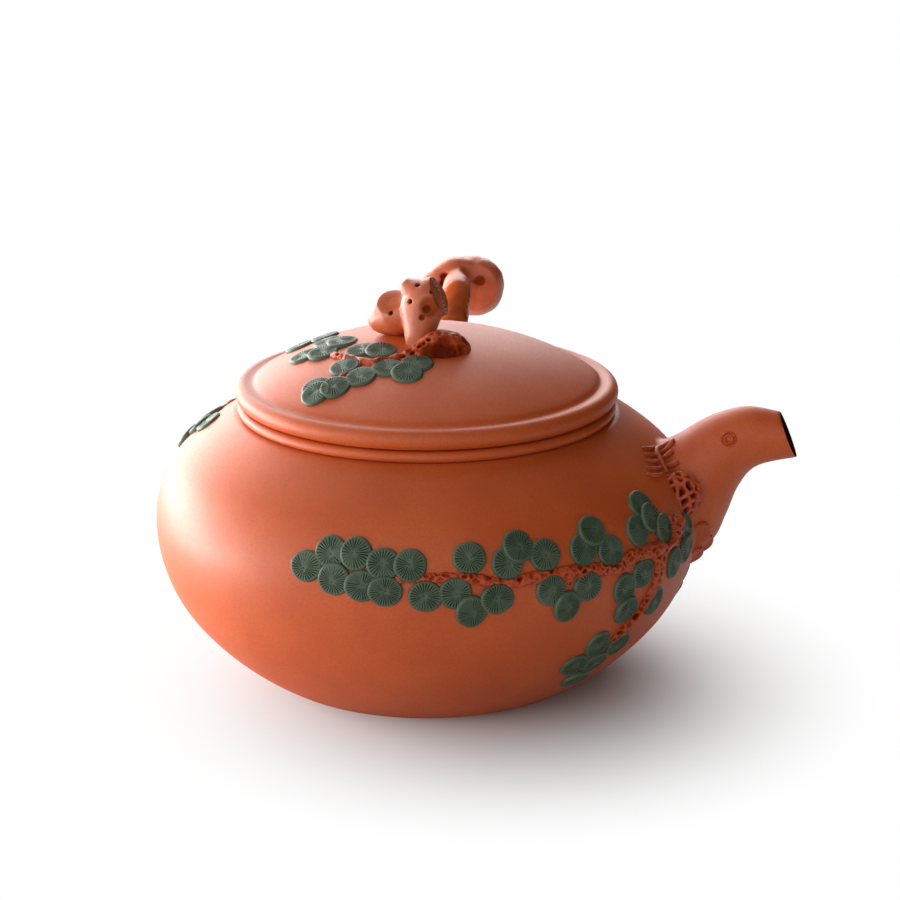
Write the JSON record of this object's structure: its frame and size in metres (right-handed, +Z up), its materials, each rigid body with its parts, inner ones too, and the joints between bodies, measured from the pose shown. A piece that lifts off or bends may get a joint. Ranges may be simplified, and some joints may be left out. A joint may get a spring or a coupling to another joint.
{
  "type": "side-handled clay teapot",
  "caption": "Squat round unglazed clay teapot with a lift-off domed lid, short spout and branch handle at its side, trimmed with a pine branch and needle pads in relief.",
  "frame": {"origin": "middle of the flat base that the pot stands on, on the pot's axis", "axes": "+Z up along the pot's axis, +X the way the spout points"},
  "size_m": [0.1312, 0.1741, 0.0846],
  "materials": {
    "red_clay": "unglazed, fine grained, burnished to a low sheen",
    "branch_clay": "unglazed, smooth with small pits",
    "bark_clay": "unglazed, rough and tooled",
    "green_clay": "unglazed, finely grooved"
  },
  "bodies": {
    "pot": {"base_slab": "red_clay", "pot_wall": "red_clay", "shoulder_slab": "red_clay", "mouth_ring": "red_clay", "spout": "red_clay", "strainer": "red_clay", "handle_stem": "branch_clay", "handle_burl": "branch_clay", "handle_twig": "branch_clay", "tuft_far": "green_clay", "tuft_middle": "green_clay", "tuft_upper": "green_clay", "tuft_lower": "green_clay", "tuft_high": "green_clay", "tuft_top": "green_clay", "tuft_side": "green_clay", "tuft_bottom": "green_clay", "tuft_spout": "green_clay", "tuft_under": "green_clay", "tuft_back": "green_clay", "pine_branch": "bark_clay", "lower_branch": "bark_clay", "back_branch": "bark_clay", "pine_cone": "bark_clay", "spout_knot": "red_clay", "bark_scales": "bark_clay", "needle_spray": "bark_clay"},
    "lid": {"lid_plate": "red_clay", "lid_lip": "red_clay", "lid_flange": "red_clay", "knob_stub": "branch_clay", "knob_limb": "branch_clay", "knob_root": "bark_clay", "lid_tuft_back": "green_clay", "lid_tuft_inner": "green_clay", "lid_tuft_front": "green_clay", "lid_tuft_edge": "green_clay", "lid_twigs": "bark_clay"}
  },
  "joints": [
    {"name": "lid_lift", "type": "slide", "parent": "pot", "child": "lid", "axis": [0, 0, 1], "range_m": [0, 0.06]}
  ]
}
